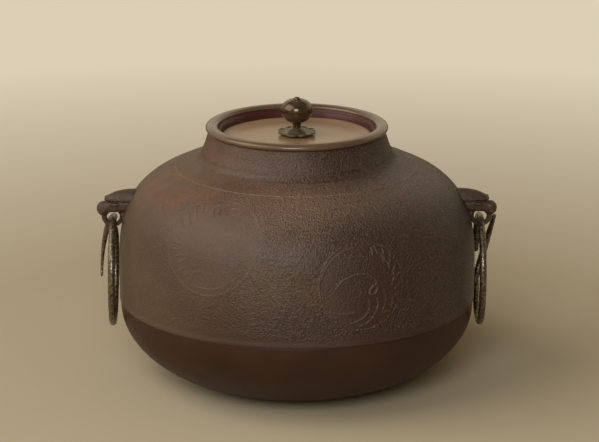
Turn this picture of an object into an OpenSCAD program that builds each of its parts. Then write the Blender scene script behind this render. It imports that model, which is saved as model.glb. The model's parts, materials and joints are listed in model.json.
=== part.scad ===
// Chagama kettle: a cast iron tea kettle with a joined bottom, a dished bronze lid with a
// ball knob, and two lugs shaped as small heads that carry loose open rings.
// Frame: +Z is up, the origin lies on the table below the kettle's axis, the front looks
// along -Y and the lugs stand on the X axis. All sizes are in millimetres.

/* [Body] */
// Diameter of the body where its upper and lower curves meet
body_d = 245; // [236:1:254]
// Height where the upper and lower curves meet
belly_z = 54; // [50:1:57]
// Diameter of the flat face that the kettle stands on
base_d = 95; // [86:1:104]
// Thickness of both castings
wall = 3.6; // [3.2:0.1:4.4]
// Height where the shoulder turns up into the neck
shoulder_z = 153.9; // [150:0.1:157]
// Fall of the shoulder beside the neck, in degrees
shoulder_slope = 13; // [10:1:17]
// Length of the upright pull on the upper curve
side_pull = 50; // [44:0.5:56]
// Length of the shoulder's pull on the upper curve
shoulder_pull = 61.5; // [52:0.5:64]
// Length of the upright pull on the lower curve
bowl_pull = 32.5; // [27:0.5:38]
// Length of the base's pull on the lower curve
foot_pull = 29.5; // [24:0.5:38]

/* [Neck and mouth] */
// Diameter of the neck at its foot
neck_d = 128.8; // [126.4:0.2:132]
// Diameter of the neck under the lid
mouth_d = 120.8; // [119:0.2:123]
// Diameter of the bore of the mouth
mouth_bore_d = 112.8; // [109:0.2:114]
// Height of the flat rim of the mouth
mouth_z = 174.4; // [170:0.2:179]
// Height of the straight bore of the mouth
mouth_lip_h = 5; // [3:0.5:7]
// Thickness of the neck at its foot
neck_wall = 4.4; // [4:0.1:5]
// Radius of the hollow corner between the shoulder and the neck
neck_fillet = 6; // [5:0.5:8]

/* [Shoulder line and seam] */
// Diameter of the fine raised line on the shoulder
line_d = 165; // [158:0.5:172]
// Width of that line
line_w = 1.4; // [1:0.1:2]
// Height of the joint between the two castings
seam_z = 58; // [52:1:62]
// Overhang of the upper casting at the joint
seam_step = 1; // [0.6:0.1:1.3]
// Height of the lip of the bottom inside the upper casting
lip_h = 8; // [5:0.5:9]
// Thickness of that lip
lip_t = 1.6; // [1.2:0.1:1.8]
// Room for lacquer in the lap joint
lap_film = 0.5; // [0.3:0.1:0.7]

/* [Lugs] */
// Distance of the ring's wire from the widest line of the body
ring_standoff = 3.4; // [3:0.1:5]
// Least thickness of the loop that stands out of the wall beside the eye
loop_seat = 1; // [0.6:0.1:1.4]
// Height of the middle of the eye
eye_z = 113.6; // [110:0.2:116]
// Diameter of the eye
eye_d = 8.7; // [8:0.1:10]
// Thickness of the loop round the eye
loop_t = 3.6; // [3.2:0.1:4.4]
// Diameter of the nose
nose_d = 8; // [7.4:0.2:8.6]
// Reach of the nose beyond the eye
nose_out = 6.2; // [5.6:0.2:7]
// Rise of the nose above the eye
nose_up = 5.7; // [5.3:0.1:6.3]
// Diameter of the head where the snout grows out of it
head_d = 12; // [11:0.2:12.6]
// Reach of the brows beyond the eye
brow_out = 3; // [2:0.2:4]
// Rise of the brows' tips above the eye
brow_up = 10.7; // [10.2:0.1:12]
// Length of a brow from its tip back to its root
brow_back = 18; // [16:0.5:20]
// Rise of a brow from its tip to its root
brow_rise = 4.4; // [3:0.2:6]
// Diameter of a brow at its outer tip
brow_tip_d = 3.6; // [3:0.2:4.4]
// Diameter of a brow at its root
brow_root_d = 10.5; // [9.5:0.5:11.5]
// Spread of the two brows at their roots
brow_spread = 13; // [11:0.5:15]
// Diameter of an eyeball
eyeball_d = 3.6; // [3:0.2:3.8]
// Diameter of the root that is cast into the wall
root_d = 9; // [7:0.5:10]
// Reach of the root past the inside of the wall
root_past = 2; // [1:0.5:4]

/* [Rings] */
// Diameter of a ring at the middle of its wire
ring_d = 73; // [70:0.5:76]
// Diameter of the wire
wire_d = 5; // [4.4:0.1:5.4]
// Gap between the wire and the loop that it hangs on
ring_play = 0.3; // [0.25:0.05:0.5]
// Diameter of the wire at its drawn out tips
tip_d = 2.8; // [2:0.1:3.6]
// Length of the drawn out tips
tip_l = 5; // [3:0.5:7]
// Overlap of the two ends, in degrees of the ring
end_overlap = 50; // [42:1:56]
// Part of the ring that leans out of its plane, in degrees of the ring
lean_sweep = 90; // [84:1:94]
// Lean of that part, in degrees
lean = 16; // [15:0.5:18]
// Radius of the bend at the root of that part
bend_r = 12; // [8:1:16]
// Place of the lug on the left ring, in degrees from the inner end
left_hang = 300; // [292:1:306]
// Place of the lug on the right ring, in degrees from the inner end
right_hang = 80; // [72:1:86]

/* [Lid] */
// Diameter of the lid
lid_d = 124.4; // [122:0.2:127]
// Thickness of the rim
rim_t = 4.6; // [4:0.2:6]
// Radius of the crown of the rim's outer edge
rim_round = 2.1; // [1.6:0.1:2.2]
// Gap between the lid's plug and the mouth, all round
lid_play = 0.8; // [0.5:0.1:1.2]
// Gap between the rim and the mouth
seat_gap = 0.1; // [0.05:0.05:0.3]
// Depth of the dish below the top of the rim
dish_depth = 9.2; // [8:0.2:9.8]
// Thickness of the dish's wall at the rim
dish_wall = 1.9; // [1.6:0.1:2.4]
// Width of the ledge half way down the dish
ledge_w = 1.2; // [0.8:0.1:1.6]
// Slope of the dish's wall, as the run on each side of the ledge
dish_run = 0.8; // [0.4:0.1:1.2]
// Thickness of the dish's floor
floor_t = 3; // [2.4:0.1:4]

/* [Knob] */
// Diameter of the ball
knob_d = 21.8; // [20:0.2:24]
// Height of the ball above its widest line
knob_upper = 6.4; // [5.4:0.2:7.6]
// Height of the ball below its widest line
knob_lower = 8.6; // [7.4:0.2:9.6]
// Diameter of the stem
stem_d = 5.8; // [5.2:0.1:7]
// Height of the stem
stem_h = 8.8; // [7.4:0.2:10]
// Diameter of the pin through the knob and lid
pin_d = 3.4; // [2.8:0.1:4]
// Diameter of the nipple on top of the pin
nipple_d = 4.6; // [4.2:0.1:5.4]
// Height of the nipple
nipple_h = 2.4; // [1.8:0.1:3.2]
// Diameter of the peened head below the lid
peen_d = 6.6; // [5.6:0.1:8]
// Height of the peened head
peen_h = 1.8; // [1.4:0.1:2.4]
// Diameter of the petal washer
washer_d = 27.6; // [24:0.4:31]
// Diameter of the flat foot of the petal washer
washer_foot_d = 11.6; // [9:0.2:13]
// Number of petals
petals = 8; // [6:1:10]
// Width of a petal as a share of the room it has on the washer's edge
petal_fill = 1.1; // [1.05:0.05:1.2]
// Thickness of a petal
petal_t = 1.2; // [1:0.1:1.6]
// Height of the petals' tips
washer_h = 3.2; // [2.6:0.1:4]
// Diameter of the washer below the lid
under_d = 15; // [12:0.5:18]
// Thickness of the washer below the lid
under_t = 1.4; // [1:0.1:2]

/* [Sounding plates] */
// Number of plates
plate_count = 5; // [3:1:6]
// Diameter of the circle on which the plates lie
plate_circle_d = 56; // [50:1:62]
// Length of a plate
plate_l = 22; // [18:0.5:24]
// Width of a plate
plate_w = 10; // [8:0.5:12]
// Thickness of a plate
plate_t = 2; // [1.4:0.1:2.6]
// Thickness of the lacquer under a plate
bed_t = 0.8; // [0.5:0.1:1.2]
// Length of the free end of a plate, which has no lacquer under it
plate_free = 9; // [6:0.5:12]

/* [Hidden] */
// Gap between pieces that are made apart and set in each other
fit_gap = 0.05;
// Extra length of a cut past the face that it opens
cut_past = 1;
// Straight steps in each curve of the outlines
curve_steps = 20;
arc_steps = 8;

base_r = base_d / 2;
belly_r = body_d / 2;
corner_at = [neck_d / 2 + neck_fillet, shoulder_z + neck_fillet * cos(shoulder_slope)];
lip_r = belly_r - wall + lip_t;

wall_side = shoulder_side(belly_r, neck_fillet);
widest_r = max([for (p = wall_side) p.x]);
eye_wall_r = radius_at(wall_side, eye_z - eye_d / 2);
hang_r = max(widest_r + ring_standoff, eye_wall_r + loop_seat + eye_d / 2);
ring_r = ring_d / 2;
hang_z = eye_z - (eye_d - wire_d) / 2 + ring_play;
flat_sweep = 360 + end_overlap - lean_sweep;
// The leaning part starts this far inside the bend, in degrees of the ring
lap_sweep = 1;

seat_z = mouth_z + seat_gap;
rim_z = seat_z + rim_t;
dish_z = rim_z - dish_depth;
plug_r = mouth_bore_d / 2 - lid_play;
pin_hole_d = pin_d + 2 * fit_gap;
stem_z = dish_z + petal_t;
ball_z = stem_z + stem_h + knob_lower;
under_z = dish_z - floor_t - under_t;

$fn = 96;

// Points of a cubic curve from a to d that leaves a towards b and reaches d from c
function curve(a, b, c, d) = [
    for (i = [0:curve_steps])
        let (t = i / curve_steps, s = 1 - t)
        s^3 * a + 3 * s^2 * t * b + 3 * s * t^2 * c + t^3 * d];

// Points of an arc about a centre, between two angles
function arc(centre, radius, start, stop) = [
    for (i = [0:arc_steps])
        let (angle = start + (stop - start) * i / arc_steps)
        centre + radius * [cos(angle), sin(angle)]];

// Points of a quarter of an ellipse about a centre, between two angles
function oval(centre, half, start, stop) = [
    for (i = [0:arc_steps])
        let (angle = start + (stop - start) * i / arc_steps)
        centre + [half.x * cos(angle), half.y * sin(angle)]];

// Lower curve of the body's side: from the flat base up to where the curves meet
function bowl_side(meet_r, floor_z) =
    let (pull = [foot_pull * (meet_r - base_r) / (belly_r - base_r),
                 bowl_pull * (belly_z - floor_z) / belly_z])
    curve([base_r, floor_z], [base_r + pull.x, floor_z],
          [meet_r, belly_z - pull.y], [meet_r, belly_z]);

// End of the shoulder on a corner of the given radius
function shoulder_end(radius) = corner_at - radius * [sin(shoulder_slope), cos(shoulder_slope)];

// Upper curve of the body's side: on over the shoulder to the neck's corner
function shoulder_side(meet_r, corner_r) =
    let (end = shoulder_end(corner_r),
         full = shoulder_end(neck_fillet),
         rise = side_pull * (end.y - belly_z) / (full.y - belly_z),
         fall = shoulder_pull * (meet_r - end.x) / (belly_r - full.x))
    curve([meet_r, belly_z], [meet_r, belly_z + rise],
          end + fall * [cos(shoulder_slope), -sin(shoulder_slope)], end);

// Outside of a whole body on a foot at a height, grown by a gap all over its side
function body_outline(grow, foot_z) = concat(
    [[0, foot_z]],
    bowl_side(belly_r + grow, foot_z),
    shoulder_side(belly_r + grow, neck_fillet - grow),
    arc(corner_at, neck_fillet - grow, 270 - shoulder_slope, 180),
    [[mouth_d / 2 + grow, mouth_z], [0, mouth_z]]);

// Space inside the body, open at the mouth
function hollow_outline() = concat(
    [[0, wall]],
    bowl_side(belly_r - wall, wall),
    shoulder_side(belly_r - wall, neck_fillet + neck_wall),
    arc(corner_at, neck_fillet + neck_wall, 270 - shoulder_slope, 180),
    [[mouth_bore_d / 2, mouth_z - mouth_lip_h],
     [mouth_bore_d / 2, mouth_z + cut_past],
     [0, mouth_z + cut_past]]);

// Radius of a wall's side at a height, and the shoulder's height at a radius
function radius_at(side, z) = lookup(z, [for (p = side) [p.y, p.x]]);
function height_at(side, r) = lookup(r, [for (p = side) [p.x, p.y]]);

// Rod with round ends of two diameters, between two points
module taper_rod(start, stop, start_d, stop_d) {
    way = stop - start;
    length = norm(way);
    tilt = asin((start_d - stop_d) / 2 / length);
    translate(start)
        rotate([0, acos(way.z / length), atan2(way.y, way.x)])
            rotate_extrude()
                polygon(concat(
                    arc([0, 0], start_d / 2, -90, tilt),
                    arc([0, length], stop_d / 2, tilt, 90)));
}

module upper_casting() {
    line_z = height_at(wall_side, line_d / 2);
    color("#5b4a3c")
        difference() {
            rotate_extrude()
                difference() {
                    union() {
                        intersection() {
                            polygon(body_outline(0, 0));
                            translate([0, seam_z])
                                square([belly_r + cut_past, mouth_z]);
                        }
                        translate([line_d / 2, line_z])
                            circle(d = line_w);
                    }
                    polygon(hollow_outline());
                    translate([0, seam_z - cut_past])
                        square([lip_r + lap_film, cut_past + lip_h + lap_film]);
                }
            for (side = [-1, 1])
                lug_root(side, root_d + 2 * fit_gap, cut_past);
        }
}

module bottom_casting() {
    color("#4f3826")
        rotate_extrude()
            difference() {
                union() {
                    intersection() {
                        polygon(body_outline(-seam_step, 0));
                        square([belly_r, seam_z]);
                    }
                    translate([0, seam_z - cut_past])
                        square([lip_r, cut_past + lip_h]);
                }
                polygon(hollow_outline());
            }
}

module seam_lacquer() {
    color("#1d1512")
        rotate_extrude()
            difference() {
                translate([0, seam_z])
                    square([lip_r + lap_film - fit_gap, lip_h + lap_film - fit_gap]);
                polygon(hollow_outline());
                translate([0, seam_z - cut_past])
                    square([lip_r + fit_gap, cut_past + lip_h + fit_gap]);
            }
}

// Straight root of a lug, from inside the wall to the head, at the height of the brows
module lug_root(side, diameter, past) {
    inner_r = radius_at(shoulder_side(belly_r - wall, neck_fillet + neck_wall), root_z());
    reach = hang_r - inner_r + root_past + past;
    translate([side * (inner_r - root_past - past), 0, root_z()])
        rotate([0, side * 90, 0])
            cylinder(d = diameter, h = reach);
}

function root_z() = eye_z + nose_up + nose_d / 2;

// Head that looks outwards along +X, with its loop and brows, before it is cut to the wall
module lug_head() {
    head = [-head_d / 2, 0, nose_up + (head_d - nose_d)];
    brow_tip = [brow_out, brow_tip_d / 2, brow_up];
    brow_root = [brow_out - brow_back, brow_spread / 2, brow_up + brow_rise];
    translate([hang_r, 0, eye_z]) {
        rotate([90, 0, 0])
            rotate_extrude()
                translate([(eye_d + loop_t) / 2, 0])
                    circle(d = loop_t);
        taper_rod(head, [nose_out, 0, nose_up], head_d, nose_d);
        taper_rod([brow_root.x, 0, head.z], head, head_d, head_d - fit_gap);
        for (half = [0, 1])
            mirror([0, half, 0]) {
                taper_rod(brow_root, brow_tip, brow_root_d, brow_tip_d);
                translate([eyeball_d / 2, (head_d - eyeball_d) / 2, head.z + eyeball_d / 4])
                    sphere(d = eyeball_d);
            }
    }
}

module lug(side) {
    mirror([side < 0 ? 1 : 0, 0, 0])
        union() {
            difference() {
                lug_head();
                rotate_extrude()
                    polygon(body_outline(fit_gap, -fit_gap));
            }
            lug_root(1, root_d, 0);
        }
}

module left_lug() {
    color("#45363a")
        lug(-1);
}

module right_lug() {
    color("#45363a")
        lug(1);
}

// Open ring that hangs from the origin in the plane of Y and Z, with +X outwards.
// Angles run from the top towards -Y. The inner end stands at the angle "hang".
module open_ring(hang) {
    translate([0, 0, -ring_r])
        rotate([0, -90, 180])
            rotate([0, 0, hang - flat_sweep]) {
                ring_wire(flat_sweep);
                rotate([0, 0, flat_sweep])
                    ring_tip(1);
                ring_bend();
                translate([0, -bend_r * sin(lean), bend_r * (1 - cos(lean))])
                    rotate([-lean, 0, 0])
                        rotate([0, 0, -lean_sweep]) {
                            ring_wire(lean_sweep + lap_sweep);
                            ring_tip(-1);
                        }
            }
}

// Wire bent through an angle about the Z axis, from the X axis on
module ring_wire(sweep) {
    rotate_extrude(angle = sweep)
        translate([ring_r, 0])
            circle(d = wire_d);
}

// Bend that turns the wire up out of its plane, where it crosses the X axis heading along -Y
module ring_bend() {
    translate([ring_r, 0, bend_r])
        rotate([180, 90, 0])
            rotate_extrude(angle = lean)
                translate([bend_r, 0])
                    circle(d = wire_d + 2 * fit_gap);
}

// Drawn out end of the wire, where it crosses the X axis heading along Y
module ring_tip(heading) {
    translate([ring_r, -heading * cut_past, 0])
        rotate([-heading * 90, 0, 0])
            cylinder(d1 = wire_d - 2 * fit_gap, d2 = tip_d, h = tip_l + cut_past);
}

module left_ring() {
    color("#3b352e")
        translate([-hang_r, 0, hang_z])
            mirror([1, 0, 0])
                open_ring(left_hang);
}

module right_ring() {
    color("#3b352e")
        translate([hang_r, 0, hang_z])
            mirror([0, 1, 0])
                open_ring(right_hang);
}

module lid() {
    rim_in_r = plug_r - dish_wall;
    ledge_r = rim_in_r - dish_run;
    edge_at = [lid_d / 2 - rim_round, seat_z + rim_round];
    crown_half = [(lid_d / 2 - rim_in_r) / 2, rim_t - rim_round];
    crown_at = [rim_in_r + crown_half.x, edge_at.y];
    color("#5a2a1c")
        rotate_extrude()
            polygon(concat(
                [[pin_hole_d / 2, dish_z - floor_t],
                 [plug_r - floor_t, dish_z - floor_t],
                 [plug_r, dish_z],
                 [plug_r, seat_z]],
                arc(edge_at, rim_round, -90, 0),
                oval(crown_at, crown_half, 0, 180),
                [[ledge_r, rim_z - dish_depth / 2],
                 [ledge_r - ledge_w, rim_z - dish_depth / 2],
                 [ledge_r - ledge_w - dish_run, dish_z],
                 [pin_hole_d / 2, dish_z]]));
}

module knob() {
    color("#4d4537")
        rotate_extrude()
            polygon(concat(
                [[pin_hole_d / 2, stem_z],
                 [stem_d / 2, stem_z],
                 [stem_d / 2, stem_z + stem_h]],
                oval([stem_d / 2, ball_z], [(knob_d - stem_d) / 2, knob_lower], -90, 0),
                oval([nipple_d / 2, ball_z], [(knob_d - nipple_d) / 2, knob_upper], 0, 90),
                [[pin_hole_d / 2, ball_z + knob_upper]]));
}

module knob_pin() {
    top_z = ball_z + knob_upper;
    color("#5c5140")
        rotate_extrude()
            polygon(concat(
                [[0, under_z - peen_h]],
                oval([0, under_z], [peen_d / 2, peen_h], -90, 0),
                [[pin_d / 2, under_z],
                 [pin_d / 2, top_z],
                 [nipple_d / 2, top_z]],
                oval([0, top_z + nipple_h / 2], [nipple_d / 2, nipple_h / 2], 0, 90)));
}

// Petals that rise from a small flat foot, cut out of a saucer
module knob_washer() {
    petal_d = washer_d * sin(180 / petals) * petal_fill;
    petal_at = (washer_d - petal_d) / 2;
    foot_r = washer_foot_d / 2;
    rise = washer_h - petal_t;
    color("#6b6146")
        translate([0, 0, dish_z])
            intersection() {
                rotate_extrude()
                    polygon([[pin_hole_d / 2, 0], [foot_r, 0], [petal_at, rise], [washer_d, rise],
                             [washer_d, washer_h], [petal_at, washer_h], [foot_r, petal_t],
                             [pin_hole_d / 2, petal_t]]);
                linear_extrude(height = washer_h) {
                    circle(r = petal_at);
                    for (i = [0:petals - 1])
                        rotate((i + 0.5) * 360 / petals)
                            translate([petal_at, 0])
                                circle(d = petal_d);
                }
            }
}

module under_washer() {
    color("#6b6146")
        translate([0, 0, under_z])
            difference() {
                cylinder(d = under_d, h = under_t);
                translate([0, 0, -cut_past])
                    cylinder(d = pin_hole_d, h = under_t + 2 * cut_past);
            }
}

// Places a child on the floor inside the kettle where a plate lies, with +X outwards
module at_plate(i) {
    rotate((i - 1) * 360 / plate_count + 90)
        translate([plate_circle_d / 2, 0, wall])
            children();
}

module plate_lacquer() {
    color("#1d1512")
        for (i = [1:plate_count])
            at_plate(i)
                translate([plate_free / 2, 0, bed_t / 2])
                    cube([plate_l - plate_free, plate_w, bed_t], center = true);
}

module sounding_plate(i) {
    color("#4a4038")
        at_plate(i)
            translate([0, 0, bed_t])
                linear_extrude(height = plate_t)
                    square([plate_l, plate_w], center = true);
}

upper_casting();
bottom_casting();
seam_lacquer();
left_lug();
right_lug();
left_ring();
right_ring();
lid();
knob();
knob_pin();
knob_washer();
under_washer();
plate_lacquer();
for (i = [1:plate_count])
    sounding_plate(i);
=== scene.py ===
"""Looks of a chagama kettle: a sand cast iron body joined to a smooth bottom, a dished bronze lid
with a ball knob on a petal washer, and two lugs shaped as small heads that carry open forged rings.

Shapes are worked out in millimetres, in the frame of the solids, and become metres in the meshes.
Angles round the kettle start at its front, which looks along -Y, and grow towards +X.
"""

import json

import bpy
import numpy as np
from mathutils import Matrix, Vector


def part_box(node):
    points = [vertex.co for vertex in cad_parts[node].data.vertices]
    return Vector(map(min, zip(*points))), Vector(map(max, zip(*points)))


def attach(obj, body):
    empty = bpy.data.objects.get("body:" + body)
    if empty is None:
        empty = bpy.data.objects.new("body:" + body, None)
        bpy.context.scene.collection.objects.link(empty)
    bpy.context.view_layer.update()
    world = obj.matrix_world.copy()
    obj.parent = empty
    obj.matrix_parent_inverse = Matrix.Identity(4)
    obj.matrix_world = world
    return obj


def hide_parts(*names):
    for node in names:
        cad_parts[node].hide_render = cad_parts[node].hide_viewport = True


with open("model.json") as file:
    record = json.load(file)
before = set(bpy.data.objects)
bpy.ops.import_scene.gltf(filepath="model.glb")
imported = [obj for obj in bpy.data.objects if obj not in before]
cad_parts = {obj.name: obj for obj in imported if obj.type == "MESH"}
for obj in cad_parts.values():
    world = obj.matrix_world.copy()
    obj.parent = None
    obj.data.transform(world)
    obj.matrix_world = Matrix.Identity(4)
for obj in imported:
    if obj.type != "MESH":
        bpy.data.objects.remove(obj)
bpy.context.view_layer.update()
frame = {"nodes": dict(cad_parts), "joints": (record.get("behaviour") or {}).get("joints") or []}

MM = 0.001


def span(node):
    """Lowest and highest corner of a solid, in millimetres."""
    low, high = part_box(node)
    return np.array(low) / MM, np.array(high) / MM


# Sizes of the castings, as the solids have them. A pull is the length of a curve's handle
BELLY_R = 122.5
BELLY_Z = 54.0
BASE_R = 47.5
WALL = 3.6
SLOPE = np.radians(13)
SHOULDER_Z = 153.9
SIDE_PULL = 50.0
SHOULDER_PULL = 61.5
BOWL_PULL = 32.5
FOOT_PULL = 29.5
NECK_R = 64.4
MOUTH_R = 60.4
BORE_R = 56.4
MOUTH_LIP_H = 5.0
MOUTH_ROUND = 0.8
NECK_WALL = 4.4
NECK_FILLET = 6.0
LINE_R = 82.5
SEAM_STEP = 1.0
LIP_R = 120.5
LAP_FILM = 0.5

SEAM_Z = span("upper_casting")[0][2]
MOUTH_Z = span("upper_casting")[1][2]
LIP_TOP = span("bottom_casting")[1][2]

# Places of the two cast roundels: angle from the front, way up the side, radius
LEFT_ROUNDEL = (-30.1, 69.9, 34.5)
RIGHT_ROUNDEL = (20.1, 44.0, 29.5)

# Lugs and rings. A ring's hang is the angle along its wire that rests in the eye
HANG_R = max(joint["pos_m"][0] for joint in frame["joints"] if "ring" in joint["name"]) / MM
HANG_Z = max(joint["pos_m"][2] for joint in frame["joints"] if "ring" in joint["name"]) / MM
EYE_Z = 113.6
EYE_R = 4.35
ROOT_R = 4.5
RING_R = 36.5
WIRE_R = 2.5
TIP_L = 5.0
FLAT_SWEEP = 320.0
BEND_R = 12.0
LEFT_HANG = 300.0
RIGHT_HANG = 80.0


# Curves and grids


def curve(a, b, c, d, count):
    """Cubic curve from a to d: the four points weighed by s^3, 3 s^2 t, 3 s t^2 and t^3, with s = 1 - t."""
    t = np.linspace(0, 1, count)[:, None]
    s = 1 - t
    a, b, c, d = (np.array(point) for point in (a, b, c, d))
    return s**3 * a + 3 * s**2 * t * b + 3 * s * t**2 * c + t**3 * d


def arc(centre, half, start, stop, count):
    """Ellipse of half sizes about a centre, from one angle to another in degrees."""
    angle = np.radians(np.linspace(start, stop, count))
    return np.array(centre) + np.stack([np.cos(angle), np.sin(angle)], 1) * half


def through(stations, count):
    """Smooth curve through stations of any width: on each stretch a cubic, whose slope at a
    station is half the way from its neighbour before to its neighbour after."""
    p = np.array(stations, float)
    p = np.vstack([2 * p[0] - p[1], p, 2 * p[-1] - p[-2]])
    x = np.linspace(0, len(stations) - 1, count)
    i = np.minimum(x.astype(int), len(stations) - 2)
    t = (x - i)[:, None]
    a, b, c, d = p[i], p[i + 1], p[i + 2], p[i + 3]
    return b + t * (c - a) / 2 + t**2 * (a - 2.5 * b + 2 * c - d / 2) + t**3 * (1.5 * (b - c) + (d - a) / 2)


def run_length(points):
    """Length of the way from the first point to each point."""
    return np.r_[0, np.cumsum(np.linalg.norm(np.diff(points, axis=0), axis=1))]


def spaced(start, stop, step, zones=()):
    """Values from start to stop, a step apart, or a finer step inside the zones (low, high, fine step):
    the running count of steps is worked out on a dense line and turned round."""
    dense = 40001
    x = np.linspace(start, stop, dense)
    density = np.full_like(x, 1 / step)
    for low, high, fine in zones:
        density[(x >= low) & (x <= high)] = 1 / fine
    count = np.r_[0, np.cumsum(density[:-1]) * (x[1] - x[0])]
    return np.interp(np.linspace(0, count[-1], int(np.ceil(count[-1])) + 1), count, x)


def ease(low, high, x):
    """0 below low, 1 above high, and 3 t^2 - 2 t^3 between them."""
    t = np.clip((x - low) / (high - low), 0, 1)
    return t * t * (3 - 2 * t)


def bell(x, width):
    """Bell curve exp(-(x / width)^2)."""
    return np.exp(-(x / width) ** 2)


def turned(r, z, angles):
    """Surface of revolution: each point (r, z) goes to (r sin a, -r cos a, z) at each angle a in degrees.
    r and z are profiles, or grids with a row for each profile point and a column for each angle."""
    a = np.radians(angles)
    r, z = (np.broadcast_to(v if v.ndim == 2 else v[:, None], (len(v), len(a))) for v in (r, z))
    return np.stack([r * np.sin(a), -r * np.cos(a), z], -1)


def skin(rings, loop=False):
    """Points and faces of a grid of closed rings. The rows join round too where loop is set, and
    otherwise a fan of triangles to the middle of each end ring closes the ends."""
    rows, columns = rings.shape[:2]
    i, j = np.meshgrid(np.arange(rows if loop else rows - 1), np.arange(columns), indexing="ij")
    i2, j2 = (i + 1) % rows, (j + 1) % columns
    quads = np.stack([i * columns + j, i * columns + j2, i2 * columns + j2, i2 * columns + j], -1)
    points = rings.reshape(-1, 3)
    faces = quads.reshape(-1, 4).tolist()
    if not loop:
        k = np.arange(columns)
        k2 = (k + 1) % columns
        last = (rows - 1) * columns
        first_pole = np.full(columns, len(points))
        faces += np.stack([k2, k, first_pole], 1).tolist()
        faces += np.stack([last + k, last + k2, first_pole + 1], 1).tolist()
        points = np.vstack([points, rings[0].mean(0), rings[-1].mean(0)])
    return points, faces


def merged(surfaces):
    """Points and faces of several surfaces as one."""
    starts = np.cumsum([0] + [len(points) for points, _ in surfaces])
    faces = [[v + start for v in face] for (_, part), start in zip(surfaces, starts) for face in part]
    return np.vstack([points for points, _ in surfaces]), faces


def mesh_of(name, surface, sharp):
    """Mesh of a closed surface, smooth but for edges sharper than an angle. Its faces are turned
    round if its volume, the sum of a . (b x c) / 6 over its triangles, comes out below zero."""
    points, faces = surface
    mesh = bpy.data.meshes.new(name)
    mesh.from_pydata(points * MM, [], faces)
    mesh.calc_loop_triangles()
    corners = np.zeros(len(mesh.loop_triangles) * 3, np.int32)
    mesh.loop_triangles.foreach_get("vertices", corners)
    a, b, c = points[corners.reshape(-1, 3)].transpose(1, 0, 2)
    if np.einsum("ij,ij->", a, np.cross(b, c)) < 0:
        mesh.flip_normals()
    mesh.shade_smooth()
    mesh.set_sharp_from_angle(angle=np.radians(sharp))
    return mesh


def place(mesh, material, body, slot, *nodes, marks=None):
    """Piece with a finish and, in marks, values for each vertex. It rides on a body and stands for nodes."""
    for name, values in (marks or {}).items():
        attribute = mesh.attributes.new(name, "FLOAT", "POINT")
        attribute.data.foreach_set("value", values.astype(np.float32).ravel())
    piece = bpy.data.objects.new(mesh.name, mesh)
    bpy.context.scene.collection.objects.link(piece)
    mesh.materials.append(material)
    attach(piece, body)
    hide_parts(*nodes)


# Finishes


def linear(code):
    """Linear colour of an sRGB hex value."""
    v = np.array([int(code[i:i + 2], 16) for i in (1, 3, 5)]) / 255
    return (*np.where(v <= 0.04045, v / 12.92, ((v + 0.055) / 1.055) ** 2.4), 1.0)


def every(size):
    """Scale of a pattern on metres whose features come every so many millimetres."""
    return 1 / (size * MM)


def add(tree, kind, inputs=(), out=0, **settings):
    """Adds a node with its settings. Inputs are (socket, value or output to link). Gives its output."""
    node = tree.nodes.new("ShaderNode" + kind)
    for name, value in settings.items():
        setattr(node, name, value)
    for name, value in inputs:
        if isinstance(value, bpy.types.NodeSocket):
            tree.links.new(value, node.inputs[name])
        else:
            node.inputs[name].default_value = value
    return node.outputs[out]


def finish(name, **sockets):
    """New material with a Principled shader whose plain sockets are set. Gives it, its tree and shader."""
    material = bpy.data.materials.new(name)
    material.use_nodes = True
    shader = material.node_tree.nodes["Principled BSDF"]
    for socket, value in sockets.items():
        shader.inputs[socket.replace("_", " ")].default_value = value
    return material, material.node_tree, shader


def feed(tree, shader, **outputs):
    """Links node outputs to a shader's sockets."""
    for socket, output in outputs.items():
        tree.links.new(output, shader.inputs[socket.replace("_", " ")])


# Setting and sockets of a Mix node that mixes colours
COLOUR = {"data_type": "RGBA"}
A, B, MIXED = 6, 7, 2


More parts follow.
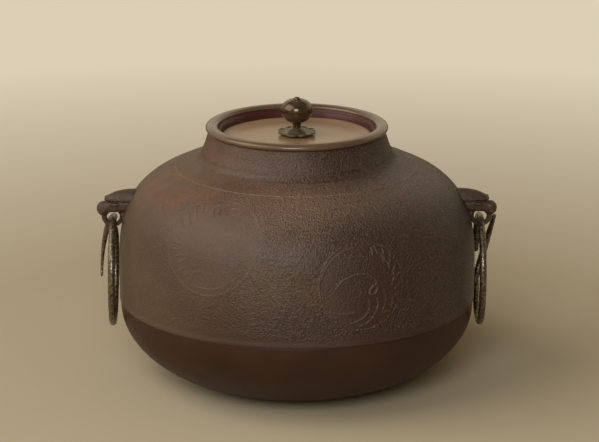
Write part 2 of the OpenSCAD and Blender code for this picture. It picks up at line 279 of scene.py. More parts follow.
def sand_cast_iron():
    """Iron cast in sand, rusted on purpose, then rubbed with lacquer while hot: a brown skin under a thin
    dull coat, with a fine sand grain, faint blotches of rust and plum, and paler rubbed lines. Painted light
    is mixed in: a plum grey painted sheen at the front and on the neck, painted light on the front of the
    shoulder, pale grain flecks that are partly painted glints, and painted shade that darkens the side away
    from the key light and the wall above the seam. The grain is drawn coarser and deeper than the sand leaves
    it, so that it shows."""
    material, tree, shader = finish("sand_cast_iron", Metallic=0.0, Coat_Weight=0.2, Coat_Roughness=0.4)
    place_at = add(tree, "TexCoord", out="Object")
    grain_mark, wear_and_light_mark, rust_mark, plum_and_sheen_mark, painted_shade_mark = (
        add(tree, "Attribute", attribute_name=mark, out="Fac")
        for mark in ("grain", "wear_and_light", "rust", "plum_and_sheen", "painted_shade"))
    blotch = add(tree, "TexNoise", [("Vector", place_at), ("Scale", every(34)), ("Detail", 5)])
    cloud = add(tree, "TexNoise", [("Vector", place_at), ("Scale", every(11)), ("Detail", 4)])
    grain = add(tree, "TexNoise", [("Vector", place_at), ("Scale", every(1.5)), ("Detail", 2),
                                   ("Roughness", 0.55)])
    sand = add(tree, "TexVoronoi", [("Vector", place_at), ("Scale", every(1.25)), ("Randomness", 1)])
    blotch = add(tree, "MapRange", [("Value", blotch), ("From Min", 0.35), ("From Max", 0.65)])
    cloud = add(tree, "MapRange", [("Value", cloud), ("From Min", 0.35), ("From Max", 0.7)])
    rust = add(tree, "Math", [(0, rust_mark), (1, cloud)], operation="MULTIPLY")
    plum_and_sheen = add(tree, "Math", [(0, plum_and_sheen_mark), (1, cloud)], operation="MULTIPLY")
    brown = linear("#5b4634")
    # The tones: blotches, rust, plum grey that is partly a painted sheen, #3b2113 as painted shade, and pale
    # wear that is partly painted light
    for share, tone in ((blotch, "#4e3b2b"), (rust, "#7a5434"), (plum_and_sheen, "#614d48"), (painted_shade_mark, "#3b2113"),
                        (wear_and_light_mark, "#785f4d")):
        brown = add(tree, "Mix", [(0, share), (A, brown), (B, linear(tone))], out=MIXED, **COLOUR)
    # The grain's dark pits and pale flecks; the pale flecks are partly painted glints
    speck_and_glint = add(tree, "MapRange", [("Value", grain), ("From Min", 0.3), ("From Max", 0.7),
                                   ("To Min", 0.25), ("To Max", 1.7)])
    brown = add(tree, "Mix", [(0, grain_mark), (A, brown), (B, speck_and_glint)], out=MIXED, blend_type="MULTIPLY",
                **COLOUR)
    rough = add(tree, "MapRange", [("Value", cloud), ("To Min", 0.37), ("To Max", 0.45)])
    dull = add(tree, "MapRange", [("Value", grain_mark), ("From Min", 0.18), ("From Max", 0.52),
                                  ("To Min", 0.2), ("To Max", 0.0)])
    rough = add(tree, "Math", [(0, rough), (1, dull)], operation="ADD")
    pits = add(tree, "Math", [(0, sand), (1, 0.5), (2, grain)], operation="MULTIPLY_ADD")
    grain_depth = 2.7 * MM
    bump = add(tree, "Bump", [("Strength", grain_mark), ("Distance", grain_depth), ("Height", pits)])
    feed(tree, shader, Base_Color=brown, Roughness=rough, Normal=bump)
    return material


def smooth_cast_iron():
    """Iron of the joined bottom: cast smoother, rust brown under thin lacquer, with soft stains and a
    faint close grain, drawn coarse enough to show."""
    material, tree, shader = finish("smooth_cast_iron", Metallic=0.0, Specular_IOR_Level=0.3)
    place_at = add(tree, "TexCoord", out="Object")
    stain = add(tree, "TexNoise", [("Vector", place_at), ("Scale", every(28)), ("Detail", 5)])
    grain = add(tree, "TexNoise", [("Vector", place_at), ("Scale", every(1.6)), ("Detail", 3)])
    stain = add(tree, "MapRange", [("Value", stain), ("From Min", 0.3), ("From Max", 0.7)])
    brown = add(tree, "Mix", [(0, stain), (A, linear("#341e11")), (B, linear("#3f2615"))], out=MIXED,
                **COLOUR)
    rough = add(tree, "MapRange", [("Value", stain), ("To Min", 0.46), ("To Max", 0.58)])
    grain_depth = 0.12 * MM
    bump = add(tree, "Bump", [("Strength", 1.0), ("Distance", grain_depth), ("Height", grain)])
    feed(tree, shader, Base_Color=brown, Roughness=rough, Normal=bump)
    return material


def spotted(name, dark, pale, spot, grain_size, grain_depth, rough_low, rough_high, **sockets):
    """Finish of one tone that wanders between two colours, with spots of a size in millimetres, and a
    grain of a size and depth that also breaks up its gloss. The grain is drawn coarse enough to show."""
    material, tree, shader = finish(name, **sockets)
    place_at = add(tree, "TexCoord", out="Object")
    spots = add(tree, "TexNoise", [("Vector", place_at), ("Scale", every(spot)), ("Detail", 5)])
    spots = add(tree, "MapRange", [("Value", spots), ("From Min", 0.3), ("From Max", 0.7)])
    grain = add(tree, "TexNoise", [("Vector", place_at), ("Scale", every(grain_size)), ("Detail", 3)])
    tone = add(tree, "Mix", [(0, spots), (A, linear(dark)), (B, linear(pale))], out=MIXED, **COLOUR)
    rough = add(tree, "MapRange", [("Value", grain), ("From Min", 0.3), ("From Max", 0.7),
                                   ("To Min", rough_low), ("To Max", rough_high)])
    bump = add(tree, "Bump", [("Strength", 1.0), ("Distance", grain_depth * MM), ("Height", grain)])
    feed(tree, shader, Base_Color=tone, Roughness=rough, Normal=bump)
    return material


def patinated_bronze():
    """Bronze lid, coloured and waxed: a glossy brown rim, a dull dark red wall and a satin floor, whose pale
    tan is partly painted reflection of light.
    """
    material, tree, shader = finish("patinated_bronze", Coat_Weight=0.22, Coat_Roughness=0.14)
    place_at = add(tree, "TexCoord", out="Object")
    floor_mark, wall_mark = (
        add(tree, "Attribute", attribute_name=mark, out="Fac") for mark in ("floor", "wall"))
    spots = add(tree, "TexNoise", [("Vector", place_at), ("Scale", every(24)), ("Detail", 5)])
    spots = add(tree, "MapRange", [("Value", spots), ("From Min", 0.3), ("From Max", 0.7)])
    rim = add(tree, "Mix", [(0, spots), (A, linear("#65503d")), (B, linear("#766048"))], out=MIXED, **COLOUR)
    tone = add(tree, "Mix", [(0, wall_mark), (A, rim), (B, linear("#45180f"))], out=MIXED, **COLOUR)
    # The floor's pale tan is partly its own colour and partly painted reflection of the light from behind
    tone = add(tree, "Mix", [(0, floor_mark), (A, tone), (B, linear("#a88a66"))], out=MIXED, **COLOUR)
    rough = add(tree, "MapRange", [("Value", floor_mark), ("To Min", 0.22), ("To Max", 0.3)])
    rough = add(tree, "Math", [(0, wall_mark), (1, 0.3), (2, rough)], operation="MULTIPLY_ADD")
    metal = add(tree, "MapRange", [("Value", floor_mark), ("To Min", 0.2), ("To Max", 0.1)])
    feed(tree, shader, Base_Color=tone, Roughness=rough, Metallic=metal)
    return material


# Cast iron lugs under thicker lacquer: speckled dark brown with a dull satin
lug_iron = spotted("lacquered_cast_iron", "#3a2a1f", "#554333", spot=2.4, grain_size=1.1, grain_depth=0.16,
                   rough_low=0.44, rough_high=0.6)
# Forged iron rings: near black brown scale, hammered, pale and bright where hands have rubbed it
forged_iron = spotted("forged_iron", "#231e1a", "#978a74", spot=1.9, grain_size=1.5, grain_depth=0.22,
                      rough_low=0.2, rough_high=0.4, Metallic=0.75)
# Old bronze knob: dark olive brown, worn and waxed to a gloss
knob_bronze = spotted("worn_bronze", "#40321f", "#604b34", spot=4, grain_size=1.3, grain_depth=0.03,
                      rough_low=0.15, rough_high=0.26, Metallic=0.5, Coat_Weight=0.4, Coat_Roughness=0.12)
# Petal washer: grey green bronze with a soft gloss
washer_bronze = spotted("grey_bronze", "#4d4631", "#7d7256", spot=2.5, grain_size=1.0, grain_depth=0.02,
                        rough_low=0.24, rough_high=0.38, Metallic=0.4)
# Lacquer of the joints: near black brown, glossy where it was wiped
joint_lacquer = spotted("joint_lacquer", "#17100d", "#261a15", spot=5, grain_size=0.8, grain_depth=0.05,
                        rough_low=0.25, rough_high=0.4)
# Iron of the sounding plates: wrought strips, scaled and rusted by water
plate_iron = spotted("wrought_iron", "#40352d", "#6a4a34", spot=5, grain_size=0.9, grain_depth=0.1,
                     rough_low=0.5, rough_high=0.7, Metallic=0.4)


# Castings of the body

corner_at = np.array([NECK_R + NECK_FILLET, SHOULDER_Z + NECK_FILLET * np.cos(SLOPE)])
downhill = np.array([np.cos(SLOPE), -np.sin(SLOPE)])


def shoulder_end(radius):
    """End of the shoulder on a neck corner of a radius."""
    return corner_at - radius * np.array([np.sin(SLOPE), np.cos(SLOPE)])


def shoulder_side(meet_r, corner_r, count=400):
    """Upper curve of a wall's side, from where it meets the lower curve to the neck's corner."""
    end, full = shoulder_end(corner_r), shoulder_end(NECK_FILLET)
    rise = SIDE_PULL * (end[1] - BELLY_Z) / (full[1] - BELLY_Z)
    fall = SHOULDER_PULL * (meet_r - end[0]) / (BELLY_R - full[0])
    return curve((meet_r, BELLY_Z), (meet_r, BELLY_Z + rise), end + fall * downhill, end, count)


def bowl_side(meet_r, floor_z, count):
    """Lower curve of a wall's side, from its flat foot up to where it meets the upper curve."""
    pull_r = FOOT_PULL * (meet_r - BASE_R) / (BELLY_R - BASE_R)
    pull_z = BOWL_PULL * (BELLY_Z - floor_z) / BELLY_Z
    return curve((BASE_R, floor_z), (BASE_R + pull_r, floor_z), (meet_r, BELLY_Z - pull_z),
                 (meet_r, BELLY_Z), count)


def above(side, z):
    """Stretch of a side above a height, with a point at that height."""
    start = [np.interp(z, side[:, 1], side[:, 0]), z]
    return np.vstack([start, side[side[:, 1] > z + 0.1]])


def strokes_height(u, v, strokes, radius):
    """Height of drawn strokes over a disc, about 1 on the main ones. A stroke is (half width in millimetres,
    height, points in units of the radius); across it the height is (1 - (d / half width)^2)^2, where d is the
    distance from the smooth line through its points, and its width tapers off over its ends."""
    height = np.zeros_like(u)
    for half_width, top, points in strokes:
        line = through(points, 8 * len(points)) if len(points) > 1 else np.array(points * 2)
        start, way = line[:-1], np.diff(line, axis=0)
        length_squared = np.maximum((way**2).sum(1), 1e-12)
        off_u, off_v = u[:, None] - start[:, 0], v[:, None] - start[:, 1]
        share = np.clip((off_u * way[:, 0] + off_v * way[:, 1]) / length_squared, 0, 1)
        d = np.hypot(off_u - share * way[:, 0], off_v - share * way[:, 1])
        along = (np.arange(len(start)) + share) / len(start)
        taper = 0.35 + 0.65 * np.sin(np.pi * np.clip(along, 0.02, 0.98)) ** 0.5
        across = np.clip(1 - (d * radius / (half_width * taper)) ** 2, 0, None) ** 2
        height = np.maximum(height, top * across.max(1))
    return height


def rim_arc(start, stop, size=1.0):
    """Points of a round stretch of a roundel's rim, in units of its radius."""
    return [tuple(p) for p in arc((0, 0), size, start, stop, 9)]


def round_points(angle, *places):
    """Points of a roundel, given as radius and turn from an angle, in units of the roundel's radius."""
    return [(r * np.cos(angle + turn), r * np.sin(angle + turn)) for r, turn in places]


# Right roundel: a round rim with a crescent of leaves inside it and scrolling vine curls
RIGHT_STROKES = [
    (0.9, 1.0, rim_arc(112, 235)),
    (0.8, 0.8, rim_arc(235, 330)),
    (0.8, 0.7, rim_arc(-30, 100)),
    *[(0.8, 0.8, round_points(a, (0.96, 0.1), (0.88, 0.02), (0.80, -0.1)))
      for a in np.radians(np.arange(-48, 78, 14))],
    (0.85, 1.0, [(-0.10, 0.90), (-0.42, 0.80), (-0.66, 0.65), (-0.86, 0.42), (-0.95, 0.18)]),
    (0.7, 0.8, [(-0.30, 0.60), (-0.22, 0.68), (-0.05, 0.66), (0.10, 0.66), (0.15, 0.58), (0.05, 0.54)]),
    (1.1, 0.9, [(0.27, 0.86), (0.29, 0.76), (0.27, 0.66)]),
    (1.1, 0.9, [(0.50, 0.66), (0.55, 0.56), (0.54, 0.48)]),
    (1.1, 0.9, [(0.60, 0.52), (0.66, 0.42), (0.66, 0.33)]),
    (0.8, 0.7, [(0.74, 0.30), (0.78, 0.14), (0.74, 0.00), (0.66, -0.08)]),
    (0.8, 1.0, [(-0.62, -0.02), (-0.50, 0.14), (-0.34, 0.23), (-0.10, 0.29), (0.12, 0.26), (0.30, 0.12),
                (0.36, -0.06)]),
    (1.0, 1.1, [(0.34, 0.04), (0.24, -0.02), (0.16, -0.12), (0.20, -0.20), (0.30, -0.16), (0.36, -0.04)]),
    (0.8, 0.9, [(0.12, -0.26), (0.16, -0.42), (0.10, -0.62), (-0.08, -0.76), (-0.33, -0.83)]),
    (0.8, 0.9, [(0.34, -0.28), (0.36, -0.46), (0.28, -0.66), (0.10, -0.84), (-0.12, -0.92)]),
    (0.8, 0.6, [(0.52, -0.14), (0.56, -0.34), (0.50, -0.56), (0.38, -0.74)]),
    (0.8, 0.6, [(0.72, -0.22), (0.74, -0.40), (0.66, -0.60)]),
    (0.7, 0.7, [(-0.84, -0.50), (-0.62, -0.57), (-0.40, -0.60), (-0.16, -0.56)]),
    (0.7, 0.5, [(-0.30, -0.10), (-0.14, -0.06), (-0.04, -0.14), (-0.12, -0.24), (-0.24, -0.20)]),
]

# Left roundel: a thin rim, flames that lick round its top, short rays down its left and a row of dots
LEFT_STROKES = [
    (0.8, 0.9, rim_arc(118, 190)),
    (0.8, 0.8, rim_arc(190, 262)),
    (0.8, 0.7, rim_arc(262, 338)),
    (0.7, 0.5, rim_arc(-22, 118)),
    (0.7, 0.6, rim_arc(252, 318, 0.87)),
    *[(1.0, 1.05 + 0.3 * np.sin(5 * a), round_points(
        a, (0.64 + 0.06 * np.sin(7 * a), 0.03), (0.78, 0.06 * np.cos(4 * a)),
        (0.90 + 0.04 * np.sin(9 * a), -0.10)))
      for a in np.radians(np.arange(66, 160, 11.7))],
    *[(0.9, 0.7 + 0.25 * np.sin(6 * a), round_points(
        a, (0.84 + 0.04 * np.sin(8 * a), 0), (0.66 + 0.05 * np.cos(11 * a), 0.04)))
      for a in np.radians(np.arange(167, 248, 9.7))],
    *[(1.1, 0.6, round_points(a, (0.50, 0))) for a in np.radians(np.arange(60, 175, 16))],
    (0.8, 0.4, [(-0.26, -0.60), (-0.12, -0.56), (0.02, -0.60)]),
    (0.8, 0.4, [(0.30, -0.52), (0.46, -0.50), (0.58, -0.42)]),
    (0.7, 0.4, [(-0.22, 0.04), (-0.06, 0.09), (0.10, 0.02), (0.26, 0.07)]),
    (0.7, 0.4, [(0.56, 0.50), (0.66, 0.34), (0.68, 0.16)]),
]

# Height of the roundels' strokes, how far past its rim a roundel is worked, and each roundel's place, strokes
# and share of the height
RELIEF_H = 0.5
PAST_RIM = 1.06
ROUNDELS = ((LEFT_ROUNDEL, LEFT_STROKES, 0.95), (RIGHT_ROUNDEL, RIGHT_STROKES, 1.3))
# Spacing of the mesh over the roundels, the wall's radius there, the degrees in a radian, and a little more
# than those for the stretch of close mesh
FINE = 0.56
ROUNDEL_WALL_R = 118
RADIAN = 57.3
ROUNDEL_REACH = 57.4
# The shoulder's raised line, the cast wall's unevenness, the shallow hollow over the seam and the seam's edge
BEAD_H = 0.42
BEAD_WIDTH = 0.62
UNEVEN_H = 0.35
SEAM_HOLLOW = 0.35
SEAM_HOLLOW_UP = 4.2
SEAM_HOLLOW_WIDTH = 1.6
SEAM_EDGE_DROP = 0.5
# Extra iron that widens the hollow at the neck's foot, half its spread, and half the hollow's length
FOOT_FILL = 1.3
FOOT_WIDTH = 6.5
HOLLOW_HALF = NECK_FILLET * np.radians(90 - np.degrees(SLOPE)) / 2
# Outer side of the upper casting, and the ways along it to the seam, the raised line and the neck's corner.
# The raised line is looked for on the upper half, where the radius only shrinks
SIDE_COUNT = 4000
upper_line = shoulder_side(BELLY_R, NECK_FILLET, SIDE_COUNT)
upper_run = run_length(upper_line)
SEAM_WAY = np.interp(SEAM_Z, upper_line[:, 1], upper_run)
LINE_WAY = np.interp(-LINE_R, -upper_line[SIDE_COUNT // 2:, 0], upper_run[SIDE_COUNT // 2:])
TOP_WAY = upper_run[-1]
# Angles of the wall's tones: the middle of the rusted side, the middle of the smoother side, and where the
# painted shade of the side away from the key light begins
RUSTED_AT = np.radians(-62)
SMOOTH_AT = np.radians(-75)
SHADE_FROM = np.radians(6)


def relief(angles, ways, radii):
    """Heights of both roundels on the grid of ways up the side and angles round it: the disc's plane is
    wrapped on the wall, so u is the arc round the kettle and v the way up from the roundel's middle."""
    total = np.zeros((len(ways), len(angles)))
    inside = np.zeros_like(total)
    for (middle, up, radius), strokes, share in ROUNDELS:
        u = np.radians(angles - middle) * radii[:, None] / radius
        v = np.broadcast_to(((ways - up) / radius)[:, None], u.shape)
        near = np.hypot(u, v) < PAST_RIM
        total[near] = np.maximum(total[near], share * strokes_height(u[near], v[near], strokes, radius))
        inside = np.maximum(inside, 1 - ease(0.9, 1.05, np.hypot(u, v)))
    return total, inside


def casting_grid():
    """Angles round the upper casting and ways up its outer side, closer together over the roundels, at the
    seam and along the raised line."""
    wide_turn, wide_step = 3, 1.4
    seam_step, line_step = 0.5, 0.3
    zones = []
    for (middle, _, radius), _, _ in ROUNDELS:
        reach = ROUNDEL_REACH * radius / ROUNDEL_WALL_R
        zones.append((middle - reach, middle + reach, RADIAN * FINE / ROUNDEL_WALL_R))
    angles = spaced(-180, 180, wide_turn, zones)[:-1]
    low = min(up - radius for (_, up, radius), _, _ in ROUNDELS)
    high = max(up + radius for (_, up, radius), _, _ in ROUNDELS)
    zones = [(SEAM_WAY, SEAM_WAY + 3, seam_step), (low, high, FINE), (LINE_WAY - 2, LINE_WAY + 2, line_step)]
    return angles, spaced(SEAM_WAY, TOP_WAY, wide_step, zones)


def neck_foot(shoulder):
    """Outer outline of the neck, from the shoulder's last point up to the mouth's edge: a round hollow and a
    straight side that leans in, filled out by a bell over the way from the hollow's middle."""
    hollow = arc(corner_at, NECK_FILLET, 270 - np.degrees(SLOPE), 180, 18)[1:]
    edge_z = MOUTH_Z - MOUTH_ROUND
    neck = np.linspace((NECK_R, corner_at[1]), (MOUTH_R, edge_z), 18)[1:]
    lean_in = (NECK_R - MOUTH_R) / (edge_z - corner_at[1])
    outline = np.vstack([hollow, neck])
    from_middle = run_length(np.vstack([shoulder, outline]))[1:] - HOLLOW_HALF
    outward = np.vstack([(corner_at - hollow) / NECK_FILLET, np.repeat([[1, lean_in]], len(neck), 0)])
    return outline + FOOT_FILL * bell(from_middle, FOOT_WIDTH)[:, None] * outward


def casting_marks(turn, way, raised, inside, neck_rows):
    """Marks of the upper casting: how strong the sand grain, the rubbed wear with painted light over the
    shoulder's front, the rust, the plum tone with its painted sheen and the painted shade are. On the outer
    side they are soft bands over the angle round the kettle and the way up. The rows after it have one value
    on the neck and one within."""
    rusted = np.clip(np.cos(turn - RUSTED_AT), 0, 1)
    smooth = np.cos(turn - SMOOTH_AT)
    from_seam = way - SEAM_WAY
    grain = (0.68 - 0.46 * smooth) * (1 - 0.45 * inside) * ease(-2, 10, from_seam)
    rust = rusted**2 * ease(60, 104, way) * (1 - 0.5 * ease(106, 122, way)) + 0.2 * ease(92, 124, way)
    # Plum grey: a tone over the shoulder and in the roundels, and a painted sheen in the bell at the front
    plum_and_sheen = 0.5 * ease(70, 122, way) * (1 - 0.6 * rusted) + 0.25 * inside + 0.5 * bell(turn + 0.2, 0.45)
    # Painted light on the shoulder: its front and right lightened as light from above and its sheen would
    shoulder_light = 0.4 * ease(-0.55, 0.0, np.sin(turn)) + 0.6 * bell(turn + 0.05, 0.4)
    wear_and_light = np.clip(0.3 * raised + 0.4 * bell(way - LINE_WAY, 0.8)
                   + ease(74, 108, way) * (1 - 0.6 * ease(116, 126, way)) * shoulder_light, 0, 1)
    # Painted shade: darker on the side away from the key light, and on the wall's foot above the seam all
    # round but for the lit far left
    painted_shade = ease(-0.16, 0.3, np.sin(turn - SHADE_FROM)) * (1 - 0.8 * ease(80, 118, way))
    painted_shade = np.maximum(painted_shade, 0.75 * (1 - ease(10, 46, from_seam)) * ease(-0.9, -0.3, np.sin(turn)))
    values = {
        "grain": (grain, 0.62 - 0.42 * smooth, 0.5),
        "wear_and_light": (wear_and_light, 0.0, 0.0),
        "rust": (rust, rust[-1:], 0.55),
        # On the neck plum grey is a painted sheen, strongest on its front left
        "plum_and_sheen": (plum_and_sheen, 0.25 + 0.5 * bell(turn + 0.4, 0.3), 0.0),
        # On the neck too this tone is painted shade, stronger from the front round to the right
        "painted_shade": (painted_shade, 0.2 + 0.25 * ease(-0.8, 0, turn) + 1.4 * painted_shade[-1:], 0.3),
    }
    ones = np.ones_like(turn)
    return {name: np.vstack([side * ones, np.where(neck_rows, neck, within) * ones])
            for name, (side, neck, within) in values.items()}


def upper_casting():
    """Upper casting: the wall's outline turned round the axis. Its outer side is lifted along its normal
    by the roundels, the raised line, the cast wall's slow unevenness, which is a sum of three waves, the
    hollow and the edge at the seam and the extra iron at the neck's foot."""
    angles, ways = casting_grid()
    side = np.stack([np.interp(ways, upper_run, upper_line[:, k]) for k in (0, 1)], 1)
    slope = np.gradient(side, ways, axis=0)
    normal = np.stack([slope[:, 1], -slope[:, 0]], 1) / np.linalg.norm(slope, axis=1)[:, None]

    turn = np.radians(angles)[None, :]
    way = ways[:, None]
    from_seam = way - SEAM_WAY
    raised, inside = relief(angles, ways, side[:, 0])
    bead = BEAD_H * bell(way - LINE_WAY, BEAD_WIDTH)
    wander = (np.sin(3 * turn + 1.1) * np.sin(way / 31 + 0.4) + 0.7 * np.sin(7 * turn + way / 19 + 2)
              + 0.5 * np.sin(11 * turn - way / 13 + 0.7) - 2.2) / 4.4
    settle = ease(0, 12, from_seam) * ease(0, 8, TOP_WAY - way)
    seam_hollow = -SEAM_HOLLOW * bell(from_seam - SEAM_HOLLOW_UP, SEAM_HOLLOW_WIDTH)
    seam_edge = -SEAM_EDGE_DROP * (1 - ease(-0.6, 1.2, from_seam))
    lift = RELIEF_H * raised + bead + UNEVEN_H * wander * settle + seam_hollow + seam_edge
    lift += FOOT_FILL * bell(TOP_WAY - way + HOLLOW_HALF, FOOT_WIDTH)

    foot = neck_foot(side[-1:])
    inner = shoulder_side(BELLY_R - WALL, NECK_FILLET + NECK_WALL, 30)
    edge_z = MOUTH_Z - MOUTH_ROUND
    mouth_edge = arc((MOUTH_R - MOUTH_ROUND, edge_z), MOUTH_ROUND, 0, 90, 4)[1:]
    rest = np.vstack([
        foot,
        mouth_edge,
        arc((BORE_R + MOUTH_ROUND, edge_z), MOUTH_ROUND, 90, 180, 4),
        [(BORE_R, MOUTH_Z - MOUTH_LIP_H)],
        arc(corner_at, NECK_FILLET + NECK_WALL, 180, 270 - np.degrees(SLOPE), 6),
        above(inner, LIP_TOP + LAP_FILM)[::-1][1:],
        [(LIP_R + LAP_FILM, LIP_TOP + LAP_FILM), (LIP_R + LAP_FILM, SEAM_Z)],
    ])
    r, z = (np.vstack([side[:, k:k + 1] + lift * normal[:, k:k + 1],
                       np.repeat(rest[:, k:k + 1], len(angles), 1)]) for k in (0, 1))
    neck_rows = (np.arange(len(rest)) < len(foot) + len(mouth_edge))[:, None]
    marks = casting_marks(turn, way, raised, inside, neck_rows)
    return mesh_of("upper_casting_skin", skin(turned(r, z, angles), loop=True), 50), marks


def bottom_casting():
    """Joined bottom: its outline turned round the axis, from the middle of the foot up the bowl, in to the
    lap joint's lip and back along the inside."""
    outer_r = BELLY_R - SEAM_STEP
    upper = shoulder_side(outer_r, NECK_FILLET + SEAM_STEP)
    hollow = shoulder_side(BELLY_R - WALL, NECK_FILLET + NECK_WALL)
    edge_r = np.interp(SEAM_Z, upper[:, 1], upper[:, 0])
    lip_in_r = np.interp(LIP_TOP, hollow[:, 1], hollow[:, 0])
    outline = np.vstack([
        [(8, 0), (26, 0), (40, 0)],
        bowl_side(outer_r, 0, 70),
        [((outer_r + edge_r) / 2, (BELLY_Z + SEAM_Z) / 2), (edge_r, SEAM_Z - 0.4), (edge_r - 0.3, SEAM_Z)],
        [(LIP_R, SEAM_Z), (LIP_R, LIP_TOP), (lip_in_r, LIP_TOP)],
        bowl_side(BELLY_R - WALL, WALL, 30)[::-1],
        [(30, WALL), (8, WALL)],
    ])
    return mesh_of("bottom_casting_skin", skin(turned(*outline.T, np.arange(0, 360, 2.0))), 40)


# Lugs

# Stations of the lug's forms: way out from the eye's middle, height of the section's middle, half width,
# reach up and down
HEAD = [(-18, 8.6, 5.6, 4.0, 4.4), (-10, 8.1, 5.3, 4.2, 4.4), (-3, 7.8, 4.8, 4.2, 4.6),
        (2.5, 7.2, 4.2, 4.0, 4.2), (6, 6.4, 3.9, 4.0, 4.2), (8.5, 6.0, 3.0, 3.2, 3.2),
        (10, 5.9, 0.6, 0.6, 0.6)]
BROW = [(-19, 12.3, 8.4, 7.0, 0.8), (-13, 12.2, 8.0, 7.1, 0.8), (-8, 12.1, 7.3, 6.8, 0.8),
        (-3, 12.2, 6.2, 5.7, 0.8), (1.5, 12.3, 4.9, 3.8, 0.8), (4.2, 12.6, 3.7, 1.9, 0.8),
        (5.7, 12.9, 1.6, 0.5, 0.5)]
WEB = [(-14, 1.5, 2.4, 4.6, 5.5), (-8, 1.0, 2.3, 4.2, 5.0), (-5.8, 0.6, 2.0, 3.4, 4.0)]
# Round forms of the lug: middle, half sizes
NOSE = ((6.6, 0, 5.6), (4.8, 4.6, 5.1))
NOSTRIL = ((7.9, 3.0, 3.6), (2.0, 1.6, 1.8))
EYEBALL = ((-1.6, 4.6, 9.2), (3.2, 1.1, 1.1))
BROW_CURL = ((4.4, 2.7, 12.9), (1.5, 1.3, 1.5))


def loft(stations, square=1.0):
    """Body lofted outwards: at each station x an oval about the height z, taller or lower above its middle
    than below it, on a smooth curve through the stations. A power below 1 on the oval's sine and cosine
    squares its corners."""
    x, z, *sizes = through(stations, 40).T[:, :, None]
    half, up, down = np.maximum(sizes, 0.1)
    a = np.radians(np.arange(0, 360, 12))[None, :]
    cosine, sine = (np.sign(v) * np.abs(v) ** square for v in (np.cos(a), np.sin(a)))
    rise = np.where(sine > 0, up, down) * sine
    return skin(np.stack(np.broadcast_arrays(x, half * cosine, z + rise), -1))


def ball(form, mirror=1):
    """Ellipsoid about a middle: rings of radius sin t at the height cos t, times the half sizes."""
    (x, y, z), half = form
    t = np.radians(np.linspace(6, 174, 15))[:, None]
    a = np.radians(np.arange(0, 360, 15))[None, :]
    unit = np.stack(np.broadcast_arrays(np.sin(t) * np.cos(a), np.sin(t) * np.sin(a), np.cos(t)), -1)
    return skin(unit * half + np.array([x, mirror * y, z]))


def trunk_loop():
    """Trunk that runs from the nose down and in round the eye: a ring whose inner edge keeps the eye's
    radius, while its thickness swells towards the nose."""
    turn = np.radians(np.arange(0, 360, 5))[:, None]
    a = np.radians(np.arange(0, 360, 18))[None, :]
    mean, swell, nose_at = 1.75, 0.25, np.radians(50)
    thick = mean + swell * np.cos(turn - nose_at)
    play, widen = 0.02, 1.15
    out = EYE_R + play + thick * (1 + np.cos(a))
    across = widen * thick * np.sin(a)
    return skin(np.stack([out * np.cos(turn), across, out * np.sin(turn)], -1), loop=True)


def root():
    """Straight root through the wall, from its stub inside to the head."""
    middle_z, bevel = 9.7, 0.8
    x = np.array([-19.0, -18, -4])[:, None]
    a = np.radians(np.arange(0, 360, 12))[None, :]
    radius = np.array([ROOT_R - bevel, ROOT_R, ROOT_R])[:, None]
    return skin(np.stack(np.broadcast_arrays(x, radius * np.cos(a), middle_z + radius * np.sin(a)), -1))


def lug(name, side):
    """Lug on the right (side 1) or left (-1): its forms are joined on a fine voxel grid into one casting
    and the joins are smoothed."""
    voxel = 0.36 * MM
    forms = [loft(HEAD, square=0.72), loft(BROW), loft(WEB), ball(NOSE), trunk_loop(), root()]
    for half in (-1, 1):
        forms += [ball(form, half) for form in (NOSTRIL, EYEBALL, BROW_CURL)]
    points, faces = merged(forms)
    rough = bpy.data.objects.new(name, bpy.data.meshes.new(name))
    rough.data.from_pydata(points * MM, [], faces)
    bpy.context.scene.collection.objects.link(rough)
    remesh = rough.modifiers.new("join", "REMESH")
    remesh.mode = "VOXEL"
    remesh.voxel_size = voxel
    soften = rough.modifiers.new("soften", "SMOOTH")
    soften.factor = 0.5
    soften.iterations = 5
    joined = bpy.data.meshes.new_from_object(rough.evaluated_get(bpy.context.evaluated_depsgraph_get()))
    spot = np.zeros(len(joined.vertices) * 3, np.float32)
    joined.vertices.foreach_get("co", spot)
    spot = spot.reshape(-1, 3) / MM * (side, 1, 1) + (side * HANG_R, 0, EYE_Z)
    faces = np.zeros(len(joined.loops), np.int32)
    joined.loops.foreach_get("vertex_index", faces)
    bpy.data.objects.remove(rough)
    return mesh_of(name, (spot, faces.reshape(-1, 4).tolist()), 180)


# Rings


def wire_path(hang, end_sweep, lean, yaw, swing):
    """Line of an open ring's wire, hung at the origin, with +X outwards: a round stretch of end_sweep degrees
    that leans out of the ring's plane, a short bend back into it, the flat stretch up to the inner end, and
    straight tips. The ring hangs turned by the angle yaw about the upright line through the origin, and swung
    outwards by the angle swing."""
    lean = np.radians(lean)
    sweep = np.radians(np.linspace(end_sweep, 0, 90))
    bend = np.linspace(lean, 0, 12)[1:]
    flat = np.radians(np.linspace(0, FLAT_SWEEP, 300))[1:]
    x = np.r_[RING_R * np.cos(sweep), np.full(len(bend), RING_R), RING_R * np.cos(flat)]
    y = np.r_[-RING_R * np.sin(sweep) * np.cos(lean) - BEND_R * np.sin(lean), -BEND_R * np.sin(bend),
              RING_R * np.sin(flat)]
    out = np.r_[RING_R * np.sin(sweep) * np.sin(lean) + BEND_R * (1 - np.cos(lean)),
                BEND_R * (1 - np.cos(bend)), np.zeros(len(flat))]
    start = np.radians(hang - FLAT_SWEEP)
    across = -x * np.sin(start) - y * np.cos(start)
    height = x * np.cos(start) - y * np.sin(start) - RING_R
    out += np.tan(np.radians(yaw)) * across
    path = np.stack([out - np.tan(np.radians(swing)) * height, across, height], 1)
    tips = [end + (end - before) / np.linalg.norm(end - before) * TIP_L * np.linspace(0.1, 1, 6)[:, None]
            for end, before in ((path[0], path[1]), (path[-1], path[-2]))]
    return np.vstack([tips[0][::-1], path, tips[1]])


